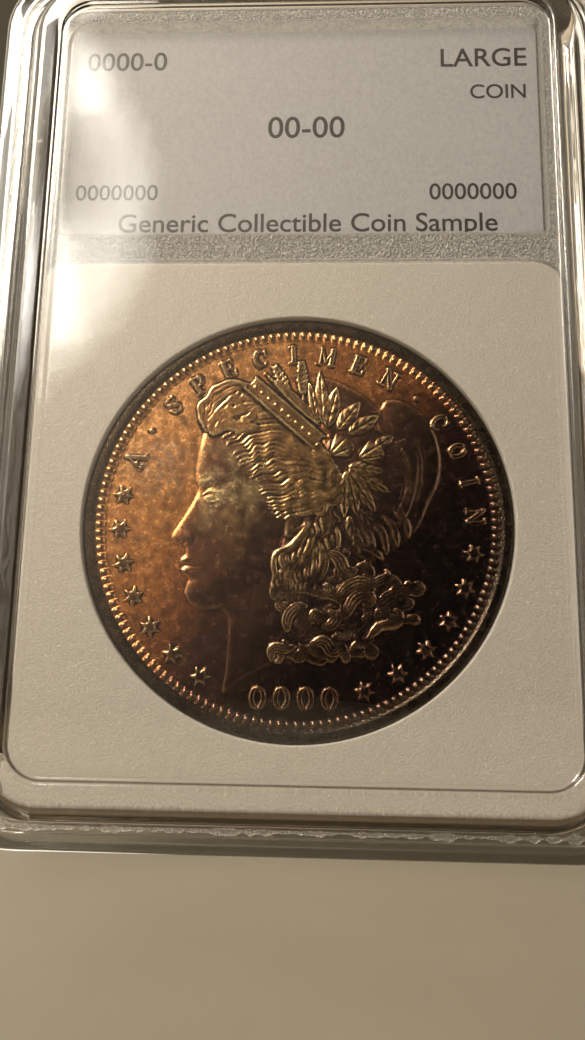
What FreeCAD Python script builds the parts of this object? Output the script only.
"""Graded coin slab: a sealed two-shell holder with a coin in a square insert and a card label above it.

Every sub-part is drawn in a frame of its own: X to the right, Y up the slab, Z out of the face it shows.
Its Placement then stands it up in the slab's frame: +Z up, -Y out of the front, and the origin at the
middle of the bottom edge, on the seam between the two shells.
"""

import FreeCAD, Part
import math
import os

import Sketcher

doc = FreeCAD.newDocument("graded_coin_slab")

# Driving dimensions, in millimetres.
DIMENSIONS = {
    "slab_width": 60.3,
    "slab_height": 85.7,
    "slab_thickness": 8.0,
    "slab_corner": 7.0,
    "flange_level": 2.2,  # from the seam to the front of the outer flange
    "flange_round": 0.8,
    "rail_side_border": 4.3,  # from the slab's edge to the outer line of the raised rail
    "rail_end_border": 3.8,
    "rail_width": 2.0,
    "rail_corner": 5.0,
    "rail_rise": 0.6,  # rail above the window it protects
    "rail_round": 0.25,
    "bevel_run": 1.3,  # how far the rail's outer wall leans out on its way down to the flange
    "window_wall": 1.5,
    "window_corner": 3.2,
    "cavity_side": 5.45,  # from the slab's edge to the cavity
    "cavity_bottom": 3.4,
    "cavity_top": 5.5,
    "cavity_corner": 3.2,
    "weld_inset": 2.0,  # from the slab's edge to the middle of the tongue
    "tongue_width": 1.0,
    "tongue_rise": 0.9,
    "groove_gap": 0.1,
    "bead_rise": 0.3,
    "coin_diameter": 38.1,
    "coin_thickness": 2.4,
    "coin_rim": 0.95,
    "coin_relief": 0.3,  # depth of the field below the rim
    "coin_height": 28.1,  # from the slab's bottom edge to the coin's centre
    "coin_gap": 0.05,
    "coin_edge": 0.15,
    "fit_gap": 0.15,  # between an inner piece and the cavity around it
    "seat_round": 0.15,
    "insert_round": 0.25,
    "label_width": 45.7,
    "label_height": 22.4,
    "label_card": 0.35,
    "label_corner": 0.4,
    "label_centre": 67.1,  # from the slab's bottom edge to the label's centre
    "label_gap": 0.2,
    "label_recess": 1.45,  # from the frame's front to the floor that the label lies on
    "frame_floor": 1.0,
}

sheet = doc.addObject("Spreadsheet::Sheet", "Dims")
for row, (alias, value) in enumerate(DIMENSIONS.items(), start=1):
    sheet.set(f"A{row}", alias)
    sheet.set(f"B{row}", str(value))
    sheet.setAlias(f"B{row}", alias)
doc.recompute()

# Lengths worked out from the driving dimensions, as spreadsheet expressions.
CAVITY_DEPTH = "(Dims.slab_thickness / 2 - Dims.rail_rise - Dims.window_wall)"
INNER_HALF = f"({CAVITY_DEPTH} - Dims.fit_gap)"
SLAB_HALF_WIDTH = "Dims.slab_width / 2"
SLAB_HALF_HEIGHT = "Dims.slab_height / 2"
CAVITY_HALF_WIDTH = "(Dims.slab_width / 2 - Dims.cavity_side)"
CAVITY_TOP = "(Dims.slab_height - Dims.cavity_top)"
INSERT_HALF_WIDTH = f"({CAVITY_HALF_WIDTH} - Dims.fit_gap)"
INSERT_HALF_HEIGHT = "(Dims.coin_height - Dims.cavity_bottom - Dims.fit_gap)"
INNER_CORNER = "(Dims.cavity_corner - Dims.fit_gap)"
POCKET_HALF_WIDTH = "(Dims.label_width / 2 + Dims.label_gap)"
POCKET_HALF_HEIGHT = "(Dims.label_height / 2 + Dims.label_gap)"
POCKET_FLOOR = f"({INNER_HALF} - Dims.label_recess)"

TOLERANCE = 1e-4  # when two levels or radii count as one

STAND_UP = FreeCAD.Rotation(FreeCAD.Vector(1, 0, 0), 90)
TURN_ROUND = FreeCAD.Rotation(FreeCAD.Vector(0, 0, 1), 180)


def length(expression):
    """The value of a spreadsheet expression, in millimetres."""
    value = sheet.evalExpression(expression)
    return float(getattr(value, "Value", value))


def new_body(label):
    """An empty sub-part whose label names its file."""
    body = doc.addObject("PartDesign::Body", label)
    body.Label = label
    return body


def base_plane(body, role):
    """One of the body's own origin planes."""
    return next(plane for plane in body.Origin.OriginFeatures if plane.Role == role)


def new_sketch(body, name, role="XY_Plane", level="0", shift="0"):
    """A sketch on the body's own plane, raised to a level along Z and shifted along Y."""
    sketch = body.newObject("Sketcher::SketchObject", name)
    sketch.AttachmentSupport = (base_plane(body, role), [""])
    sketch.MapMode = "FlatFace"
    if level != "0":
        sketch.setExpression("AttachmentOffset.Base.z", level)
    if shift != "0":
        sketch.setExpression("AttachmentOffset.Base.y", shift)
    return sketch


def bind(sketch, index, name, expression):
    """Names a constraint and drives it from the spreadsheet."""
    sketch.renameConstraint(index, name)
    sketch.setExpression(f"Constraints.{name}", expression)


def add_rounded_rectangle(sketch, prefix, half_width, below, above, corner):
    """A rectangle about the sketch's vertical axis with four equal round corners, fully constrained."""
    side, low, high, radius = length(half_width), length(below), length(above), length(corner)
    point = FreeCAD.Vector
    first = sketch.GeometryCount
    walls = [
        (point(radius - side, -low), point(side - radius, -low)),
        (point(side, radius - low), point(side, high - radius)),
        (point(side - radius, high), point(radius - side, high)),
        (point(-side, high - radius), point(-side, radius - low)),
    ]
    for start, end in walls:
        sketch.addGeometry(Part.LineSegment(start, end))
    centres = [
        point(side - radius, radius - low),
        point(side - radius, high - radius),
        point(radius - side, high - radius),
        point(radius - side, radius - low),
    ]
    for quarter, centre in enumerate(centres):
        circle = Part.Circle(centre, point(0, 0, 1), radius)
        start = (quarter - 1) * math.pi / 2
        sketch.addGeometry(Part.ArcOfCircle(circle, start, start + math.pi / 2))
    for wall in range(4):
        arc = first + 4 + wall
        following = first + (wall + 1) % 4
        sketch.addConstraint(Sketcher.Constraint("Tangent", first + wall, 2, arc, 1))
        sketch.addConstraint(Sketcher.Constraint("Tangent", arc, 2, following, 1))
        straight = "Horizontal" if wall % 2 == 0 else "Vertical"
        sketch.addConstraint(Sketcher.Constraint(straight, first + wall))
        if wall:
            sketch.addConstraint(Sketcher.Constraint("Equal", first + 4, arc))
    sizes = [
        ("corner", corner, Sketcher.Constraint("Radius", first + 4, radius)),
        ("right", half_width, Sketcher.Constraint("DistanceX", -1, 1, first + 1, 1, side)),
        ("left", half_width, Sketcher.Constraint("DistanceX", first + 3, 1, -1, 1, side)),
        ("below", below, Sketcher.Constraint("DistanceY", first, 1, -1, 1, low)),
        ("above", above, Sketcher.Constraint("DistanceY", -1, 1, first + 2, 1, high)),
    ]
    for name, expression, constraint in sizes:
        bind(sketch, sketch.addConstraint(constraint), f"{prefix}_{name}", expression)


def outline_sketch(body, name, half_width, below, above, corner, level="0", shift="0"):
    """A sketch that holds one rounded rectangle."""
    sketch = new_sketch(body, name, level=level, shift=shift)
    add_rounded_rectangle(sketch, "outline", half_width, below, above, corner)
    return sketch


def inset_sketch(body, name, inset, level="0"):
    """The slab's outline moved inwards by a distance."""
    half_width = f"{SLAB_HALF_WIDTH} - ({inset})"
    half_height = f"{SLAB_HALF_HEIGHT} - ({inset})"
    corner = f"Dims.slab_corner - ({inset})"
    return outline_sketch(body, name, half_width, half_height, half_height, corner, level)


def ring_sketch(body, name, width, level="0"):
    """The closed track of the weld, that wide, all round the slab."""
    sketch = new_sketch(body, name, level=level)
    for prefix, sign in (("outer", "-"), ("inner", "+")):
        inset = f"(Dims.weld_inset {sign} ({width}) / 2)"
        half_width = f"{SLAB_HALF_WIDTH} - {inset}"
        half_height = f"{SLAB_HALF_HEIGHT} - {inset}"
        corner = f"Dims.slab_corner - {inset}"
        add_rounded_rectangle(sketch, prefix, half_width, half_height, half_height, corner)
    return sketch


def rail_sketch(body, name, grow, level):
    """The rail's outer line, grown outwards by a distance."""
    half_width = f"{SLAB_HALF_WIDTH} - Dims.rail_side_border + {grow}"
    half_height = f"{SLAB_HALF_HEIGHT} - Dims.rail_end_border + {grow}"
    corner = f"Dims.rail_corner + {grow}"
    return outline_sketch(body, name, half_width, half_height, half_height, corner, level)


def feature(body, kind, name, sketch, depth, reversed_side=False):
    """A Pad or Pocket of a sketch. A Pad grows along +Z and a Pocket cuts along -Z unless reversed."""
    made = body.newObject(f"PartDesign::{kind}", name)
    made.Profile = (sketch, [""])
    made.setExpression("Length", depth)
    made.Reversed = reversed_side
    sketch.Visibility = False
    doc.recompute()
    return made


def edges_at(shape, *levels):
    """Names of the edges that lie flat at any of the levels."""
    names = []
    for index, edge in enumerate(shape.Edges, start=1):
        box = edge.BoundBox
        if any(max(abs(box.ZMin - level), abs(box.ZMax - level)) < TOLERANCE for level in levels):
            names.append(f"Edge{index}")
    return names


def circles_of(shape, radius):
    """Names of the edges that are circles of a radius."""
    names = []
    for index, edge in enumerate(shape.Edges, start=1):
        if isinstance(edge.Curve, Part.Circle) and abs(edge.Curve.Radius - radius) < TOLERANCE:
            names.append(f"Edge{index}")
    return names


def check_cuts(label, *steps):
    """Stops the script if a step removed nothing from the one before it."""
    volumes = [step.Shape.Volume for step in steps]
    for before, after in zip(volumes, volumes[1:]):
        if after >= before:
            raise RuntimeError(f"{label}: a pocket cut nothing")


def add_round(body, name, base, edges, radius):
    """A fillet of a body's latest feature on the named edges."""
    made = body.newObject("PartDesign::Fillet", name)
    made.Base = (base, edges)
    made.setExpression("Radius", radius)
    doc.recompute()
    return made


def shell(label, joint):
    """One half of the case, outside up: flange, bevelled rail, window, cavity and half of the weld."""
    body = new_body(label)
    top = "Dims.slab_thickness / 2"
    outline = inset_sketch(body, f"{label}_outline", "0")
    flange = feature(body, "Pad", f"{label}_flange", outline, "Dims.flange_level")
    rim = edges_at(flange.Shape, length("Dims.flange_level"))
    add_round(body, f"{label}_flange_round", flange, rim, "Dims.flange_round")
    rail = body.newObject("PartDesign::AdditiveLoft", f"{label}_rail")
    rail.Profile = (rail_sketch(body, f"{label}_rail_foot", "Dims.bevel_run", "Dims.flange_level"), [""])
    rail.Sections = [(rail_sketch(body, f"{label}_rail_top", "0", top), [""])]
    rail.Ruled = True
    doc.recompute()
    window = outline_sketch(
        body,
        f"{label}_window_outline",
        f"{SLAB_HALF_WIDTH} - Dims.rail_side_border - Dims.rail_width",
        f"{SLAB_HALF_HEIGHT} - Dims.rail_end_border - Dims.rail_width",
        f"{SLAB_HALF_HEIGHT} - Dims.rail_end_border - Dims.rail_width",
        "Dims.window_corner",
        level=top,
    )
    recess = feature(body, "Pocket", f"{label}_window", window, "Dims.rail_rise")
    crest = edges_at(recess.Shape, length(top), length(f"{top} - Dims.rail_rise"))
    rounded = add_round(body, f"{label}_rail_round", recess, crest, "Dims.rail_round")
    cavity = outline_sketch(
        body,
        f"{label}_cavity_outline",
        CAVITY_HALF_WIDTH,
        f"{SLAB_HALF_HEIGHT} - Dims.cavity_bottom",
        f"{SLAB_HALF_HEIGHT} - Dims.cavity_top",
        "Dims.cavity_corner",
    )
    hollow = feature(body, "Pocket", f"{label}_cavity", cavity, CAVITY_DEPTH, reversed_side=True)
    check_cuts(label, rounded, hollow)
    if joint == "groove":
        track = ring_sketch(body, f"{label}_groove_track", "Dims.tongue_width + 2 * Dims.groove_gap")
        depth = "Dims.tongue_rise + Dims.bead_rise"
        groove = feature(body, "Pocket", f"{label}_groove", track, depth, reversed_side=True)
        check_cuts(label, hollow, groove)
    else:
        track = ring_sketch(body, f"{label}_tongue_track", "Dims.tongue_width")
        feature(body, "Pad", f"{label}_tongue", track, "Dims.tongue_rise", reversed_side=True)
    return body


def weld_bead():
    """The plastic melted between the tongue's tip and the groove's floor, which holds the shells together."""
    body = new_body("weld_bead")
    track = ring_sketch(body, "bead_track", "Dims.tongue_width", level="Dims.tongue_rise")
    feature(body, "Pad", "bead", track, "Dims.bead_rise")
    return body


def coin_insert():
    """The square white insert that fills the lower part of the cavity and grips the coin by its edge."""
    body = new_body("coin_insert")
    outline = outline_sketch(
        body,
        "insert_outline",
        INSERT_HALF_WIDTH,
        INSERT_HALF_HEIGHT,
        INSERT_HALF_HEIGHT,
        INNER_CORNER,
        level=f"-{INNER_HALF}",
    )
    block = feature(body, "Pad", "insert_block", outline, f"2 * {INNER_HALF}")
    half = length(INNER_HALF)
    rounded = add_round(body, "insert_round", block, edges_at(block.Shape, -half, half), "Dims.insert_round")
    seat = new_sketch(body, "coin_seat_circle", level=INNER_HALF)
    radius = "Dims.coin_diameter / 2 + Dims.coin_gap"
    centre = FreeCAD.Vector(0, 0, 0)
    seat.addGeometry(Part.Circle(centre, FreeCAD.Vector(0, 0, 1), length(radius)))
    seat.addConstraint(Sketcher.Constraint("Coincident", 0, 3, -1, 1))
    bind(seat, seat.addConstraint(Sketcher.Constraint("Radius", 0, length(radius))), "seat_radius", radius)
    bored = feature(body, "Pocket", "coin_seat", seat, f"2 * {INNER_HALF}")
    check_cuts("coin_insert", rounded, bored)
    mouths = circles_of(bored.Shape, length(radius))
    add_round(body, "seat_round", bored, mouths, "Dims.seat_round")
    return body


def label_frame():
    """The frosted tray over the insert: the label's pocket, and the bar that parts it from the coin."""
    body = new_body("label_frame")
    top = f"{CAVITY_TOP} - Dims.fit_gap - Dims.label_centre"
    insert_top = f"(Dims.coin_height + {INSERT_HALF_HEIGHT})"
    horn = f"Dims.label_centre - {insert_top} + Dims.cavity_corner"
    outline = outline_sketch(
        body,
        "frame_outline",
        INSERT_HALF_WIDTH,
        horn,
        top,
        INNER_CORNER,
        level=f"-{INNER_HALF}",
    )
    block = feature(body, "Pad", "frame_block", outline, f"2 * {INNER_HALF}")
    clearance = outline_sketch(
        body,
        "insert_clearance",
        f"{INSERT_HALF_WIDTH} + Dims.fit_gap",
        f"{INSERT_HALF_HEIGHT} + Dims.fit_gap",
        f"{INSERT_HALF_HEIGHT} + Dims.fit_gap",
        "Dims.cavity_corner",
        level=INNER_HALF,
        shift="Dims.coin_height - Dims.label_centre",
    )
    shaped = feature(body, "Pocket", "insert_cutout", clearance, f"2 * {INNER_HALF}")
    front = outline_sketch(
        body,
        "label_pocket_outline",
        POCKET_HALF_WIDTH,
        POCKET_HALF_HEIGHT,
        POCKET_HALF_HEIGHT,
        "Dims.label_corner + Dims.label_gap",
        level=INNER_HALF,
    )
    pocket = feature(body, "Pocket", "label_pocket", front, "Dims.label_recess")
    back = outline_sketch(
        body,
        "back_pocket_outline",
        POCKET_HALF_WIDTH,
        POCKET_HALF_HEIGHT,
        POCKET_HALF_HEIGHT,
        "Dims.label_corner + Dims.label_gap",
        level=f"-{INNER_HALF}",
    )
    relief = f"2 * {INNER_HALF} - Dims.label_recess - Dims.frame_floor"
    hollow = feature(body, "Pocket", "back_pocket", back, relief, reversed_side=True)
    check_cuts("label_frame", block, shaped, pocket, hollow)
    return body


def label_card():
    """The printed card, laid on the floor of its pocket."""
    body = new_body("label_card")
    outline = outline_sketch(
        body,
        "card_outline",
        "Dims.label_width / 2",
        "Dims.label_height / 2",
        "Dims.label_height / 2",
        "Dims.label_corner",
        level=POCKET_FLOOR,
    )
    feature(body, "Pad", "card", outline, "Dims.label_card")
    return body


def coin():
    """A struck disc: a field sunk below a raised rim on both sides, turned from a half section."""
    body = new_body("coin")
    sketch = new_sketch(body, "coin_section", role="XZ_Plane")
    radius, half = "Dims.coin_diameter / 2", "Dims.coin_thickness / 2"
    corners = [
        ("0", f"{half} - Dims.coin_relief"),
        (f"{radius} - Dims.coin_rim - Dims.coin_relief", f"{half} - Dims.coin_relief"),
        (f"{radius} - Dims.coin_rim", half),
        (f"{radius} - Dims.coin_edge", half),
        (radius, f"{half} - Dims.coin_edge"),
    ]
    section = [(across, up, 1) for across, up in corners]
    section += [(across, up, -1) for across, up in reversed(corners)]
    points = [FreeCAD.Vector(length(across), side * length(up)) for across, up, side in section]
    count = len(points)
    for index in range(count):
        sketch.addGeometry(Part.LineSegment(points[index], points[(index + 1) % count]))
    for index, (across, up, side) in enumerate(section):
        sketch.addConstraint(Sketcher.Constraint("Coincident", index, 2, (index + 1) % count, 1))
        if index in (0, count - 1):
            sketch.addConstraint(Sketcher.Constraint("PointOnObject", index, 1, -2))
        else:
            reach = Sketcher.Constraint("DistanceX", -1, 1, index, 1, length(across))
            bind(sketch, sketch.addConstraint(reach), f"reach_{index}", across)
        ends = (-1, 1, index, 1) if side > 0 else (index, 1, -1, 1)
        rise = Sketcher.Constraint("DistanceY", *ends, length(up))
        bind(sketch, sketch.addConstraint(rise), f"rise_{index}", up)
    disc = body.newObject("PartDesign::Revolution", "coin_disc")
    disc.Profile = (sketch, [""])
    disc.ReferenceAxis = (sketch, ["V_Axis"])
    disc.Angle = 360
    doc.recompute()
    return body


def place(body, height, turned=False):
    """Stands a sub-part up with its own origin at a height above the slab's bottom edge."""
    turn = TURN_ROUND * STAND_UP if turned else STAND_UP
    body.Placement = FreeCAD.Placement(FreeCAD.Vector(0, 0, 0), turn)
    body.setExpression("Placement.Base.z", height)
    return body


sub_parts = [
    place(shell("front_shell", "groove"), SLAB_HALF_HEIGHT),
    place(shell("rear_shell", "tongue"), SLAB_HALF_HEIGHT, turned=True),
    place(weld_bead(), SLAB_HALF_HEIGHT),
    place(coin_insert(), "Dims.coin_height"),
    place(label_frame(), "Dims.label_centre"),
    place(label_card(), "Dims.label_centre"),
    place(coin(), "Dims.coin_height"),
]
doc.recompute()

for item in doc.Objects:
    if "Invalid" in item.State or "Error" in item.State:
        raise RuntimeError(f"{item.Label} failed: {item.State}")
for body in sub_parts:
    if body.Shape.isNull() or not body.Shape.isValid() or len(body.Shape.Solids) != 1:
        raise RuntimeError(f"{body.Label} is not one valid solid")

os.makedirs("parts", exist_ok=True)
for body in sub_parts:
    body.Shape.exportStep(f"parts/{body.Label}.step")
    box = body.Shape.optimalBoundingBox()
    size = f"{box.XLength:.2f} x {box.YLength:.2f} x {box.ZLength:.2f}"
    print(f"{body.Label}: {size} mm, {body.Shape.Volume:.1f} mm3")
